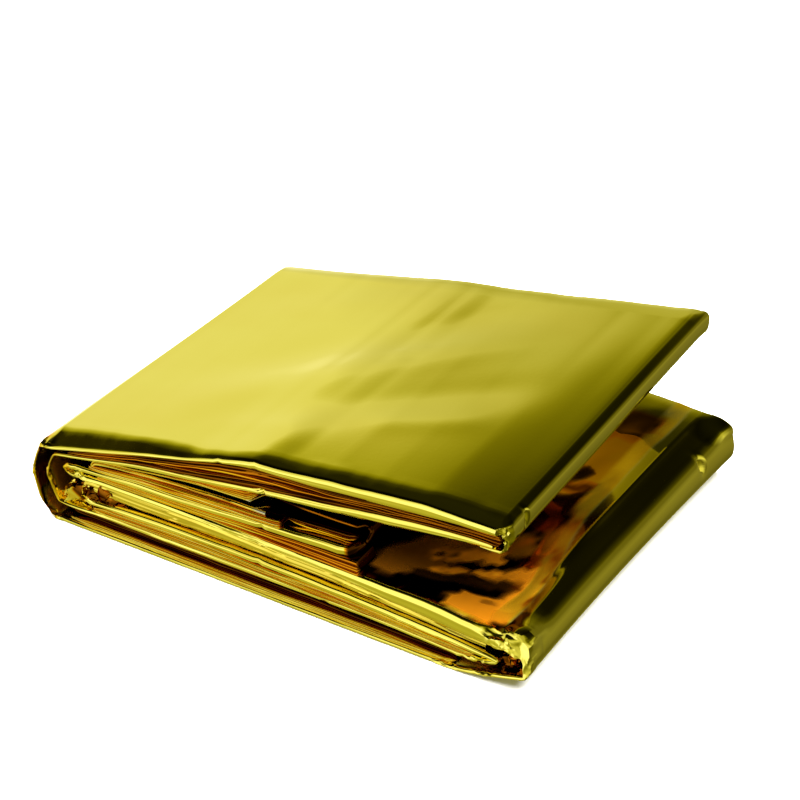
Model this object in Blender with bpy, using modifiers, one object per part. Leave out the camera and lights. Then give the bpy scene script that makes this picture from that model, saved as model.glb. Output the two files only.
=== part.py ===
"""An emergency foil blanket, folded flat into a pack and left a little open, like a booklet.

The blanket is one sheet. It is modelled as one back-and-forth section of its folded layers: ten layers,
joined by nine bends, of which two wrap the spine on the left. Each layer stands for a bundle of film plies.
The sizes below are in millimetres, and MM turns them into Blender's metres. +Z is up. X runs from the spine
to the open ends, and Y from the front long side to the back one. The origin is at the pack's bottom centre.
"""

import math
from collections import namedtuple

import bmesh
import bpy

MM = 0.001

# --- Driving dimensions -------------------------------------------------------------------------------

PACK_DEPTH = 100.0  # front long side to back long side
SPINE_OFFSET = 66.1  # from the pack's centre to the point that the tables below measure X from
EDGE_BEVEL = 0.3  # rounding of the front and back edges of the film
CROWN_WIDTH = 5.0  # how far in from a long side a layer reaches its crown
SPINE_THINNING = 0.62  # share of a bundle's thickness that is left where it is pressed at the spine
FULL_THICKNESS_X = 50.0  # distance from the spine at which the bundles have their full thickness
MOST_THICKNESS = 2.4  # the thickness that the layers' own ones are given as shares of

# Heights of each layer's middle on the front long side are given at these distances from the spine.
COLUMNS_X = (12.0, 30.0, 62.0, 92.0, 120.0)

# A row for each layer, in the order of the sheet. It starts at the tail, and goes left and right by turns.
# left and right: where the layer meets its bends. z12 to z120: its heights at COLUMNS_X.
# thick: the bundle. crown: how much higher it lies inside than on its long sides.
# back_sag: how much less it bulges up at the back long side than at the front one.
# front_in and back_in: how far its long edges stand in from the pack's sides.
Layer = namedtuple(
    "Layer",
    "name left right z12 z30 z62 z92 z120 thick crown back_sag front_in back_in",
)
LAYERS = (
    Layer("tail", 17.6, 64.0, 17.2, 19.3, 22.7, 24.3, 24.3, 1.3, 0.1, 0.2, 1.6, 2.6),
    Layer("flap_top", 17.6, 86.3, 18.6, 20.9, 25.2, 27.7, 28.3, 1.3, 0.2, 0.6, 1.1, 1.9),
    Layer("flap", 11.2, 86.3, 15.7, 17.5, 19.6, 20.7, 21.1, 1.9, 0.0, 0.0, 0.3, 1.0),
    Layer("lower_top", 11.2, 121.5, 13.2, 14.6, 14.8, 14.4, 13.3, 2.2, 0.6, 0.0, 0.0, 0.2),
    Layer("bottom", 5.5, 114.0, 0.8, 0.8, 0.8, 0.8, 0.8, 1.6, 0.0, 0.0, 0.0, 0.2),
    Layer("top", 5.0, 121.7, 21.5, 26.5, 34.8, 37.7, 39.0, 2.0, 1.2, 2.9, 0.0, 0.0),
    Layer("under", 8.5, 121.7, 19.6, 23.3, 28.5, 32.5, 35.0, 1.8, 0.3, 1.6, 0.2, 0.4),
    Layer("inner_low", 10.5, 116.5, 4.7, 5.4, 5.7, 5.3, 5.3, 1.4, 0.2, 0.0, 0.8, 0.4),
    Layer("mid", 14.1, 116.5, 7.8, 8.7, 9.0, 8.3, 7.9, 1.5, 0.3, 0.0, 0.5, 1.2),
    Layer("core", 14.1, 119.0, 10.4, 11.7, 12.1, 11.3, 10.3, 1.4, 0.4, 0.0, 1.2, 0.6),
)

# A row for each bend, which joins the layer of that place in the list above to the next one.
# near, tip and far: its X at three places, which lie at the shares near_z, tip_z and far_z of the way from
# one layer's height to the other's.
Bend = namedtuple("Bend", "name near tip far near_z tip_z far_z thick")
BENDS = (
    Bend("tail_turn", 17.1, 16.8, 17.1, 0.1, 0.5, 0.9, 0.9),
    Bend("flap_end", 87.6, 88.5, 87.6, 0.1, 0.5, 0.9, 1.3),
    Bend("flap_turn", 9.6, 9.2, 9.6, 0.1, 0.5, 0.9, 1.0),
    Bend("lower_end", 127.1, 129.3, 127.4, 0.15, 0.46, 0.74, 1.6),
    Bend("outer_spine", 1.0, -0.3, 2.0, 0.07, 0.5, 0.92, 1.0),
    Bend("top_end", 122.8, 123.6, 122.8, 0.1, 0.5, 0.9, 1.3),
    Bend("inner_spine", 5.2, 3.4, 5.8, 0.1, 0.5, 0.9, 1.0),
    Bend("low_end", 117.3, 117.8, 117.3, 0.1, 0.5, 0.9, 1.2),
    Bend("core_turn", 13.3, 12.8, 13.3, 0.1, 0.5, 0.9, 1.0),
)

# The pack isn't square: towards the back its lower leaf reaches further, and its spine is pressed flatter.
END_SKEW = 3.0  # how much further the lower leaf reaches at the back than at the front
END_SKEW_FROM = 95.0  # distance from the spine at which the lower leaf starts to reach further
END_SKEW_TO = 125.0
WEDGE_FLOOR = 16.5  # height that parts the lower leaf from the flap and the upper leaf
SPINE_PRESS = 0.11  # share of the spine's height that is lost at the back
SPINE_PRESS_DEPTH = 80.0  # distance from the front long side at which all of it is lost
SPINE_PRESS_REACH = 40.0  # distance from the spine at which none of it is
SAG_X = 63.0  # distance from the spine at which the upper leaf bulges up most on its front side
SAG_REACH = 45.0

# A row for each soft ridge (or trough, where the height is negative) on the top layer: a line from
# (x0, y0) to (x1, y1), Y measured from the front long side, and the half width and height of the swell.
Ridge = namedtuple("Ridge", "x0 y0 x1 y1 width height")
TOP_RIDGES = (
    Ridge(20.0, 34.0, 86.0, 92.0, 8.5, -0.7),
    Ridge(22.0, 24.0, 98.0, 88.0, 8.5, 0.8),
    Ridge(46.0, 20.0, 112.0, 60.0, 9.0, -0.5),
    Ridge(10.0, 70.0, 70.0, 98.0, 8.0, 0.4),
)

# Where the sheet gets its points: the longest step and the sharpest turn from one row to the next.
LONGEST_STEP = 12.5
SHORTEST_LAST_STEP = 3.0
SHARPEST_TURN = math.radians(30)
DENSE_STEPS = 24  # fine steps between two knots, from which the rows are picked
SMALLEST_DISTANCE = 0.001
KNOT_MARGIN = 4.0  # a column that is nearer than this to a layer's end makes no knot
WIDTH_SHARES = (0.0, 0.02, 0.05, 0.15, 0.26, 0.38, 0.5, 0.62, 0.74, 0.85, 0.95, 0.98, 1.0)

WAVE_HEIGHT = 0.08  # unevenness of the layers
WAVE_EDGE = 0.35  # unevenness of their long edges
WAVE_LENGTH = 27.0
SLOW_WAVE_LENGTH = 73.0
WAVE_MIX = 0.4  # share of the quick wave in the long edges' unevenness
RIDGE_FADE = 0.3  # share of a ridge's length in which it fades out at each end

FOIL_COLOUR = (0.93, 0.72, 0.10, 1.0)


def clear_scene():
    for thing in list(bpy.data.objects):
        bpy.data.objects.remove(thing, do_unlink=True)


def smooth(share):
    share = min(1.0, max(0.0, share))
    return share * share * (3 - 2 * share)


def layer_height(layer, x):
    """The layer's height on the front long side, between the columns, and on in a line past them."""
    heights = (layer.z12, layer.z30, layer.z62, layer.z92, layer.z120)
    place = max(0, min(len(COLUMNS_X) - 2, sum(x > column for column in COLUMNS_X[1:-1])))
    x0, x1 = COLUMNS_X[place : place + 2]
    z0, z1 = heights[place : place + 2]
    return z0 + (z1 - z0) * (x - x0) / (x1 - x0)


def bundle_thickness(layer, x):
    """The layer's thickness. The bottom one keeps its own all along, so that it lies flat."""
    if layer.name == "bottom":
        return layer.thick
    pressed = 1 - smooth(x / FULL_THICKNESS_X)
    return layer.thick * (1 - (1 - SPINE_THINNING) * pressed)


def sheet_knots():
    """Knots of the sheet's section, as (x, z, facts): along each layer, then round the bend after it."""
    knots = []
    for place, layer in enumerate(LAYERS):
        inside = [x for x in COLUMNS_X if layer.left + KNOT_MARGIN < x < layer.right - KNOT_MARGIN]
        stops = [layer.left, *inside, layer.right]
        if place % 2 == 0:
            stops.reverse()
        for x in stops:
            facts = {
                "where": layer.name,
                "thick": bundle_thickness(layer, x),
                "crown": layer.crown,
                "sag": layer.back_sag,
                "front": layer.front_in,
                "back": layer.back_in,
                "ridged": 1.0 if layer.name == "top" else 0.0,
            }
            knots.append((x, layer_height(layer, x), facts))
        if place == len(BENDS):
            break
        bend, after = BENDS[place], LAYERS[place + 1]
        end_x = after.left if place % 2 == 0 else after.right
        z0, z1 = knots[-1][1], layer_height(after, end_x)
        stops = ((bend.near, bend.near_z), (bend.tip, bend.tip_z), (bend.far, bend.far_z))
        for x, share in stops:
            facts = {
                "where": bend.name,
                "thick": bend.thick,
                "crown": layer.crown + (after.crown - layer.crown) * share,
                "sag": 0.0,
                "front": layer.front_in + (after.front_in - layer.front_in) * share,
                "back": layer.back_in + (after.back_in - layer.back_in) * share,
                "ridged": 0.0,
            }
            knots.append((x, z0 + (z1 - z0) * share, facts))
    return knots


def spline_point(p0, p1, p2, p3, share):
    """A centripetal Catmull-Rom spline between p1 and p2, which makes no loop at a tight bend."""
    t = [0.0]
    for a, b in ((p0, p1), (p1, p2), (p2, p3)):
        t.append(t[-1] + max(SMALLEST_DISTANCE, math.dist(a, b)) ** 0.5)
    here = t[1] + (t[2] - t[1]) * share

    def mix(a, b, ta, tb):
        return tuple(u + (w - u) * (here - ta) / (tb - ta) for u, w in zip(a, b))

    a1, a2, a3 = mix(p0, p1, t[0], t[1]), mix(p1, p2, t[1], t[2]), mix(p2, p3, t[2], t[3])
    b1, b2 = mix(a1, a2, t[0], t[2]), mix(a2, a3, t[1], t[3])
    return mix(b1, b2, t[1], t[2])


def dense_section(knots):
    """Fine samples of the section, as (x, z, facts, distance along the sheet)."""
    points = [knot[:2] for knot in knots]
    first = tuple(2 * a - b for a, b in zip(points[0], points[1]))
    last = tuple(2 * a - b for a, b in zip(points[-1], points[-2]))
    padded = [first, *points, last]
    samples, along, before = [], 0.0, None
    for place in range(len(knots) - 1):
        facts0, facts1 = knots[place][2], knots[place + 1][2]
        for step in range(DENSE_STEPS + (place == len(knots) - 2)):
            share = step / DENSE_STEPS
            x, z = spline_point(*padded[place : place + 4], share)
            facts = {
                key: facts0[key] + (facts1[key] - facts0[key]) * share
                for key in facts0
                if key != "where"
            }
            facts["where"] = (facts0 if share < 0.5 else facts1)["where"]
            if before:
                along += math.dist(before, (x, z))
            before = (x, z)
            samples.append((x, z, facts, along))
    return samples


def picked_rows(samples):
    """The samples that become rows of the sheet, by the step and the turn since the last one."""
    rows, last_heading, turned = [samples[0]], None, 0.0
    for here, ahead in zip(samples, samples[1:]):
        heading = math.atan2(ahead[1] - here[1], ahead[0] - here[0])
        if last_heading is not None:
            turned += abs(math.remainder(heading - last_heading, math.tau))
        last_heading = heading
        if ahead[3] - rows[-1][3] >= LONGEST_STEP or turned >= SHARPEST_TURN:
            rows.append(ahead)
            turned = 0.0
    if samples[-1][3] - rows[-1][3] < SHORTEST_LAST_STEP:
        rows.pop()
    rows.append(samples[-1])
    return rows


def ridge_height(x, y):
    height = 0.0
    for ridge in TOP_RIDGES:
        run_x, run_y = ridge.x1 - ridge.x0, ridge.y1 - ridge.y0
        length = math.hypot(run_x, run_y)
        along = ((x - ridge.x0) * run_x + (y - ridge.y0) * run_y) / length**2
        away = ((x - ridge.x0) * run_y - (y - ridge.y0) * run_x) / length
        fade = smooth(along / RIDGE_FADE) * smooth((1 - along) / RIDGE_FADE)
        height += ridge.height * fade * math.exp(-((away / ridge.width) ** 2))
    return height


def folded_point(row, across):
    """Where the point at share across of the sheet's width lies, in the folded pack."""
    x, z, facts, along = row
    wave = math.sin(math.tau * along / WAVE_LENGTH)
    slow_wave = math.sin(math.tau * along / SLOW_WAVE_LENGTH)
    front = facts["front"] + WAVE_EDGE * (1 + WAVE_MIX + slow_wave + WAVE_MIX * wave) / 2
    back = facts["back"] + WAVE_EDGE * (1 + WAVE_MIX - slow_wave + WAVE_MIX * wave) / 2
    y = front + (PACK_DEPTH - front - back) * across
    from_side = min(y - front, PACK_DEPTH - back - y)
    if facts["where"] != "bottom":
        z += facts["crown"] * smooth(from_side / CROWN_WIDTH)
        z += WAVE_HEIGHT * wave * math.cos(math.pi * across)
        z += facts["ridged"] * ridge_height(x, y) * smooth(from_side / (2 * CROWN_WIDTH))
        bulge = math.cos(math.pi / 2 * min(1.0, abs(x - SAG_X) / SAG_REACH)) ** 2
        z -= facts["sag"] * bulge * smooth(y / PACK_DEPTH)
        pressed = smooth(y / SPINE_PRESS_DEPTH) * (1 - smooth(x / SPINE_PRESS_REACH))
        z *= 1 - SPINE_PRESS * pressed
    z = max(z, facts["thick"] / 2)
    skewed = smooth((x - END_SKEW_FROM) / (END_SKEW_TO - END_SKEW_FROM)) if z < WEDGE_FLOOR else 0.0
    x += END_SKEW * skewed * (y / PACK_DEPTH) ** 2
    return ((x - SPINE_OFFSET) * MM, (y - PACK_DEPTH / 2) * MM, z * MM)


def foil_material():
    material = bpy.data.materials.new("gold_film")
    material.use_nodes = True
    shader = material.node_tree.nodes["Principled BSDF"]
    shader.inputs["Base Color"].default_value = FOIL_COLOUR
    shader.inputs["Metallic"].default_value = 1.0
    shader.inputs["Roughness"].default_value = 0.16
    return material


def foil_sheet(rows):
    """The flat sheet as a grid, each of whose points is then folded into its place."""
    mesh = bpy.data.meshes.new("foil_blanket")
    thickness = []
    sheet = bmesh.new()
    bmesh.ops.create_grid(
        sheet, x_segments=len(rows) - 1, y_segments=len(WIDTH_SHARES) - 1, size=1.0
    )
    sheet.verts.ensure_lookup_table()
    for vert in sheet.verts:
        row = rows[round((vert.co.x + 1) / 2 * (len(rows) - 1))]
        across = WIDTH_SHARES[round((vert.co.y + 1) / 2 * (len(WIDTH_SHARES) - 1))]
        thickness.append(row[2]["thick"] / MOST_THICKNESS)
        vert.co = folded_point(row, across)
    sheet.to_mesh(mesh)
    sheet.free()
    blanket = bpy.data.objects.new("foil_blanket", mesh)
    group = blanket.vertex_groups.new(name="thickness")
    for index, share in enumerate(thickness):
        group.add([index], share, "REPLACE")
    return blanket


def main():
    clear_scene()
    collection = bpy.data.collections.new("emergency_foil_blanket")
    bpy.context.scene.collection.children.link(collection)
    blanket = foil_sheet(picked_rows(dense_section(sheet_knots())))
    collection.objects.link(blanket)
    blanket.data.materials.append(foil_material())
    shell = blanket.modifiers.new("Film", "SOLIDIFY")
    shell.thickness = MOST_THICKNESS * MM
    shell.offset = 0.0
    shell.vertex_group = "thickness"
    edge = blanket.modifiers.new("Edge", "BEVEL")
    edge.width = EDGE_BEVEL * MM
    edge.segments = 1
    edge.limit_method = "ANGLE"
    edge.angle_limit = math.radians(50)
    blanket.data.shade_smooth()
    return blanket


main()
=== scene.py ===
"""Looks of an emergency foil blanket that is folded into a flat pack, like a booklet left a little open.

The blanket is one sheet of thin metallised film. Its plies lie in bundles, and each bundle is a flat tube
of film with rolled long edges, bent along a fold path. The outer path goes from the loose flap round the
lower leaf and the spine to the top, and the inner path is the plies between. Stacks of single plies fill
the slits, and crushed film sits in the spine and at a corner.

The tables are in millimetres. X runs from the spine to the open ends, Y from the front long side to the
back one, and Z up from the underside of the lowest ply.
"""

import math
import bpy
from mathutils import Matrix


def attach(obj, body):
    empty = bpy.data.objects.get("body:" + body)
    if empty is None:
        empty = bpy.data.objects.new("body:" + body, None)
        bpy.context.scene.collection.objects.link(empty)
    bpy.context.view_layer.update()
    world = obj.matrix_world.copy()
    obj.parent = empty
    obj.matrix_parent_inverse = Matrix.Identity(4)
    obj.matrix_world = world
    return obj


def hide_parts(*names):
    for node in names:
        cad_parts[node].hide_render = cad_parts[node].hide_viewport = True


bl_info = {
    "name": "Foil blanket pack",
    "version": (1, 0, 0),
    "blender": (4, 5, 0),
    "location": "3D View > Sidebar > Foil blanket",
    "description": "Builds a folded emergency foil blanket on its CAD frame, with its film and studio",
    "category": "Add Mesh",
}

from collections import namedtuple

import bmesh
import bpy
from mathutils import Vector, noise

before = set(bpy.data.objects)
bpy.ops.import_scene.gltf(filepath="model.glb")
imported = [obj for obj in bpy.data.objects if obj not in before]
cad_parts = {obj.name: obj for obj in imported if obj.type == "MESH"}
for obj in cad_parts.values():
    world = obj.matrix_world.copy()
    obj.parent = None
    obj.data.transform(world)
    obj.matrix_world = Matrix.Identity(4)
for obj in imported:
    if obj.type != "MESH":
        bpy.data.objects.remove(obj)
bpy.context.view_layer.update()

MM = 0.001
CAD_NODE = "foil_blanket"
BODY = "root"
FILM = "metallised_film"

PACK_DEPTH = 100.0  # front long side to back long side
SPINE_OFFSET = 66.1  # from the pack's centre to where the tables measure X from
LIFT = 0.3  # from the floor to the tables' zero height


def rows_of(kind, *rows):
    return [kind(*row) for row in rows]


# --- Layers ---

# Heights of the middle of each bundle's rolled front edge, and its thickness there, at these X.
COLUMNS = (12, 20, 30, 45, 53, 62, 70, 80, 92, 105, 115, 120)

# held: which face of the bundle stays level from the rolled edge inwards, 1 upper, -1 lower, 0 neither.
# inside: the bundle's thickness away from its rolled edges. crown and sag: as in the CAD part.
# lines: how deeply the ply edges groove the rolls, and how much painted shade the rolls' lower sides get.
# The last column is the film's painted shade and reflection: 0 for film in the open, 0.5 a painted amber
# reflection where it mirrors other gold film, 1 painted shade where it is dark between the plies.
Layer = namedtuple("Layer", "name left right heights thicks held inside crown sag front back lines deep")
LAYERS = {layer.name: layer for layer in rows_of(Layer,
    ("tail", 17.6, 64.5,
        (18.3, 19.6, 20.8, 21.9, 22.3, 22.5, 22.6, 22.8, 23, 23.1, 23.1, 23.1),
        (0.8, 0.8, 0.9, 1.1, 1.2, 1.2, 1.2, 1.2, 1.2, 1.2, 1.2, 1.2), 0, 0.8, 0, 0.2, 0.7, 2.6, 0.8, 0.12),
    ("flap_top", 17.6, 86.3,
        (19.1, 20.4, 21.9, 23.9, 24.3, 24.6, 24.1, 24, 24.3, 24.4, 24.4, 24.4),
        (0.5, 0.5, 0.5, 0.55, 0.55, 0.55, 0.8, 0.9, 1, 1, 1, 1), 0, 0.7, 0, 0.6, 0.6, 1.9, 0.3, 0.2),
    ("flap", 11.2, 86.3,
        (16.6, 17, 17.6, 18.1, 18.6, 19.1, 19.5, 20.1, 20.6, 20.9, 21, 21),
        (1.4, 1.5, 1.7, 1.9, 1.9, 2, 2.2, 2.5, 2.9, 2.9, 2.9, 2.9), 0, 1.5, 0, 0, 0.1, 1, 0.5, 0),
    ("lower_top", 11.2, 121.5,
        (14.2, 14.5, 14.6, 14.7, 14.7, 14.65, 14.5, 14.3, 13.4, 12.6, 11.7, 11.3),
        (1.3, 1.4, 1.5, 1.6, 1.7, 1.8, 1.8, 2.1, 3.4, 4.3, 4.3, 4.2), 1, 1.8, 0.5, 0, 0, 0.2, 0.9, 0),
    ("bottom", 5.5, 112,
        (0.35,) * 12, (1.3,) * 12, -1, 1.3, 0, 0, 0, 0.2, 0.5, 0),
    ("top", 5, 121.6,
        (21.6, 23.7, 26.5, 30.3, 32.5, 34.4, 35, 35.85, 37, 38.15, 38.65, 38.8),
        (0.9, 0.95, 0.9, 0.9, 1.3, 2.1, 2.2, 2.8, 3, 3, 2.2, 1.8), 1, 1.6, 0.9, 2.9, 0, 0, 0.5, 0),
    ("under", 8.5, 120.3,
        (19.45, 21.05, 23.05, 25.3, 26.5, 28, 29.05, 30.2, 31.8, 33.5, 34.6, 34.9),
        (0.9, 1.1, 1.3, 1.7, 1.6, 1.6, 1.9, 2.4, 2.6, 2.6, 2, 1.3), 0, 1.4, 0.3, 1.6, 0.15, 0.4, 0.6, 0),
    ("inner_low", 10.5, 115.5,
        (4.9, 5.2, 5.25, 5.3, 5.3, 5.3, 5.3, 5.3, 5.2, 4.7, 4.3, 4.2),
        (1, 1.3, 1.5, 1.6, 1.6, 1.6, 1.5, 1.4, 1.3, 1.2, 0.9, 0.9), 0, 1.2, 0.2, 0, 0.3, 0.4, 0.6, 0),
    ("mid", 14.1, 121,
        (8, 8.2, 8.6, 8.9, 8.95, 8.85, 8.7, 8.5, 8.1, 7.4, 6.8, 6.4),
        (1.2, 1.4, 1.7, 1.7, 1.8, 2, 1.9, 1.8, 1.9, 2, 1.6, 1.3), 0, 1.3, 0.3, 0, 0.2, 1.2, 0.6, 0),
    ("core", 14.1, 119,
        (11.6, 11.7, 11.65, 11.75, 11.8, 11.8, 11.6, 11.35, 10.3, 9.35, 8.6, 8.4),
        (3, 3.4, 3.7, 3.6, 3.5, 3.4, 3.4, 3.3, 2, 1.4, 1.3, 1.2), 0, 1.3, 0.3, 0, 1.1, 0.8, 1.1, 0.14),
)}

# Corners of the folds between the layers: X, height, thickness. turn: how sharply each is pressed.
Corner = namedtuple("Corner", "x z thick turn")
BENDS = {
    "tail_turn": ((16.6, 18.2, 0.6, 0.5), (16.6, 19.2, 0.6, 0.5)),
    "flap_end": ((88.2, 24, 1, 0.6), (88.2, 21.4, 1.1, 0.6)),
    "flap_turn": ((9.3, 16.4, 1.2, 0.5), (9.2, 14.6, 1.2, 0.5)),
    "lower_end": (
        (126.6, 11.1, 4.4, 1.5), (129.1, 7.9, 1.7, 1.2), (128.8, 4.5, 1.1, 0.25), (118.6, 1.5, 1.1, 1.2),
    ),
    "outer_spine": (
        (4.7, 0.3, 0.9, 0.3), (1.4, 2, 0.9, 0.25), (-0.75, 11.6, 0.9, 0.22), (2, 19.2, 0.9, 0.3),
    ),
    "top_end": ((122.9, 38.9, 1.3, 0.5), (123.2, 36.6, 1.2, 0.6), (122.7, 33.9, 0.9, 0.5)),
    "inner_spine": ((5.9, 18.1, 0.7, 0.35), (3.3, 12.8, 0.7, 0.25), (5.9, 5.3, 0.7, 0.35)),
    "low_end": ((117.2, 4.6, 0.9, 0.5), (122.6, 6, 0.9, 0.6)),
    "core_turn": ((13.2, 8.6, 0.9, 0.5), (13, 11, 0.9, 0.5)),
}

OUTER_PATH = (
    "tail", "tail_turn", "flap_top", "flap_end", "flap", "flap_turn", "lower_top", "lower_end",
    "bottom", "outer_spine", "top", "top_end",
)
OUTER_TUCK = Corner(117, 33.4, 0.4, 0.5)  # where the outer path ends, tucked under the leaf
LEFTWARDS = ("tail", "flap", "bottom", "under", "mid")  # these layers run towards the spine
INNER_PATH = ("under", "inner_spine", "inner_low", "low_end", "mid", "core_turn", "core")

# Stacks of single plies in the slits between two bundles, from left to right. low and high: which part of
# the slit's height they fill. taper and back: over what length their two ends thin out, and how far those
# are drawn back. The next column is the plies' painted shade, and uneven: how much it differs from ply to
# ply.
Stack = namedtuple(
    "Stack", "name lower upper left right low high plies set_back jitter taper back deep uneven"
)
STACKS = rows_of(Stack,
    ("upper_slit", "under", "top", 8, 122.5, 0, 1, 5, 1.2, 0.8, (8, 0.2), (1.5, 0.2), 0.6, 0.3),
    ("flap_slit", "flap", "tail", 13.5, 68.8, 0, 1, 4, 0.9, 0.5, (6, 0.3), (2.5, 0.3), 0.14, 0.3),
    ("rod_slit", "flap_top", "under", 36, 62.2, 0, 1, 4, 1, 0.5, (8, 1.5), (1, 1.5), 0.2, 0.3),
    ("gap_slit", "flap", "flap_top", 66, 86.2, 0, 0.6, 2, 3.8, 0.6, (9, 1), (3, 0.6), 0.6, 0.2),
    ("middle_slit", "lower_top", "flap", 15.5, 88.8, 0, 0.92, 4, 1.1, 0.5, (6, 0.6), (2.5, 0), 0.2, 0.16),
    ("lower_slit", "inner_low", "mid", 14, 117, 0, 1, 5, 0.6, 0.5, (7, 3), (2.5, 0.8), 0.08, 0.22),
    ("base_slit", "bottom", "inner_low", 7, 112.5, 0, 0.47, 4, 0.7, 0.4, (9, 2), (2, 0.8), 0.08, 0.25),
    ("base_gap", "bottom", "inner_low", 7, 121.5, 0.47, 1, 3, 2.3, 0.5, (4, 4), (1.5, 0.5), 0.88, 0.08),
)

# Crushed plies between two folds, from x0 to x1. narrow: how far they thin out. The last two: the painted
# shade at the two ends, darker the further in they lie.
Pocket = namedtuple("Pocket", "name x0 z0 x1 z1 y0 y1 tall narrow deep0 deep1")
POCKETS = rows_of(Pocket,
    ("spine_pocket", 6.4, 7.4, 23, 10.6, 2.2, 3, 2.9, 0.6, 0.12, 0.86),
    ("corner_pocket", 126.4, 6, 115, 3.4, 4.6, 3.8, 1.9, 0.5, 0.8, 0.86),
)

# Small nicks of the rolled front edges: layer, X, half width, depth.
Nick = namedtuple("Nick", "layer x reach depth")
NICKS = rows_of(Nick,
    ("top", 53.2, 0.35, 0.35), ("top", 62.4, 0.25, 0.4), ("top", 80.6, 0.3, 0.25),
    ("under", 64.4, 0.5, 0.6), ("flap", 63.4, 0.5, 0.5), ("flap", 84.3, 0.3, 0.6),
    ("lower_top", 62.4, 0.4, 0.4), ("mid", 62, 0.8, 0.3), ("inner_low", 79.8, 0.35, 0.7),
    ("inner_low", 104, 0.4, 0.4),
)

# Soft ridges and troughs of the top, as in the CAD part, and its small creases.
Ridge = namedtuple("Ridge", "x0 y0 x1 y1 width height")
TOP_RIDGES = rows_of(Ridge,
    (14, 30, 92, 96, 9, -0.34), (20, 14, 100, 82, 8, 0.42), (46, 16, 112, 58, 8, -0.32),
    (8, 64, 66, 98, 8, 0.16), (62, 8, 62, 82, 6, -0.35), (58, 55, 76, 64, 1.1, 0.11),
    (60, 53.5, 74, 60, 1.1, -0.09), (72, 24, 104, 36, 5, 0.16), (36, 13, 66, 17, 4, 0.10),
)

# Places where the film is crushed: centre, reach along X, Y and Z, how far it moves and its grain.
Crush = namedtuple("Crush", "x y z reach_x reach_y reach_z amount grain")
CRUSHES = rows_of(Crush,
    (122.8, 0.8, 36.8, 2, 3, 3.4, 0.5, 0.42), (122.6, 1, 12, 3.6, 3.2, 2.8, 0.5, 0.3),
    (128.5, 3.5, 9, 3.2, 4.5, 5, 0.5, 0.17), (3, 1, 20.1, 2, 3, 1.6, 0.55, 0.5),
    (4.4, 1, 1, 2.2, 3, 1.5, 0.5, 0.5), (-0.6, 1, 11.6, 1.2, 2.5, 2, 0.35, 0.5),
    (3.6, 1, 12.6, 1.2, 2.5, 2, 0.35, 0.5), (11.2, 1.2, 15, 3.8, 3.5, 2, 0.5, 0.36),
    (13.2, 1, 9.6, 2.6, 3, 2.4, 0.7, 0.4), (117, 1, 3.6, 4.5, 4, 2.2, 0.42, 0.36),
    (109.5, 1, 1, 3, 3, 1.2, 0.3, 0.6), (64, 1, 28.4, 1.2, 2, 1.2, 0.3, 0.8),
)

# Flat facets that the corners are pressed to: a point of the facet, where it faces and how far it reaches.
Press = namedtuple("Press", "spot facing reach")
PRESSES = rows_of(Press,
    ((126.4, 1.7, 10.6), (0.55, -0.72, 0.42), 8), ((129.6, 7.5, 12), (0.5, -0.3, 0.8), 6.5),
    ((122.2, 1.2, 12.6), (0.1, -0.72, 0.68), 5), ((121.9, 1.2, 36.5), (0.75, -0.66, 0), 5),
    ((1.6, 0.9, 19.3), (-0.62, -0.62, 0.4), 5), ((2.4, 0.9, 1.3), (-0.6, -0.6, -0.5), 5),
)

# Small bright dents of the open ends: centre, reach along Y and Z, depth.
Dent = namedtuple("Dent", "x y z reach_y reach_z depth")
DENTS = rows_of(Dent,
    (130.6, 84, 9.9, 0.75, 1.8, 1.8), (123.6, 9.1, 38.1, 0.6, 1.6, 1.3),
)

# The painted reflection and shade of the open leaf's floor, as strokes from 0 to 1: where each stroke
# starts and ends, its half width, its painted shade (about 0.5 a painted amber reflection of the leaf
# above, near 1 painted shade) and how finely crinkled it is. Later strokes lie on top.
Stroke = namedtuple("Stroke", "x0 y0 x1 y1 width deep haze")
# Painted shade over the floor of the open leaf where no stroke lies.
WEDGE_PAINTED_SHADE = 0.97
WEDGE_STROKES = rows_of(Stroke,
    (112, 22, 108, 100, 8, 0.58, 0), (104, 24, 112, 30, 3, 0.5, 0.1), (118, 24, 117, 46, 1.6, 0.66, 0.1),
    (112.5, 5, 120, 7.5, 4.3, 0.53, 0.5), (114, 8, 117.5, 9.5, 0.8, 0.7, 0.4),
    (119, 10, 119.5, 19, 2.3, 0.52, 0.6), (113, 17.5, 118, 22, 2.4, 0.54, 0.45),
    (92, 9, 102, 22, 5, 0.72, 0.45), (99, 8.5, 114, 15, 1.5, 0.9, 0.1),
    (100.5, 11.4, 105.5, 14.6, 1, 0.51, 1), (105.5, 14.6, 112, 19, 0.7, 0.46, 0.9),
    (98.5, 16.4, 103.5, 19.5, 1.7, 0.54, 1), (99.6, 17.2, 102, 18.6, 0.7, 0.85, 0.2),
    (105, 20, 110, 24, 0.9, 0.54, 0.8), (111, 40, 119, 43, 2, 0.82, 0), (109, 50, 114, 72, 6.5, 0.42, 0),
    (116, 58, 119, 80, 3.2, 0.4, 0), (106, 52, 116, 57, 1.6, 0.8, 0), (60, 98, 125, 98, 8, 0.06, 0),
)

# The lower leaf lies below this height. At its back it reaches further, between these X.
END_SKEW, END_SKEW_FROM, END_SKEW_TO, END_SKEW_BELOW = 4, 95, 125, 18.1
# How much flatter the spine is pressed at the back, and over what depth and how far in from the spine.
SPINE_PRESS, SPINE_PRESS_DEPTH, SPINE_PRESS_REACH = 0.09, 80, 40
SAG_X, SAG_REACH, SAG_REACH_OPEN = 63, 45, 56
CROWN_WIDTH = 4.5  # how far in from a long side a bundle reaches its crown
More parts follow.
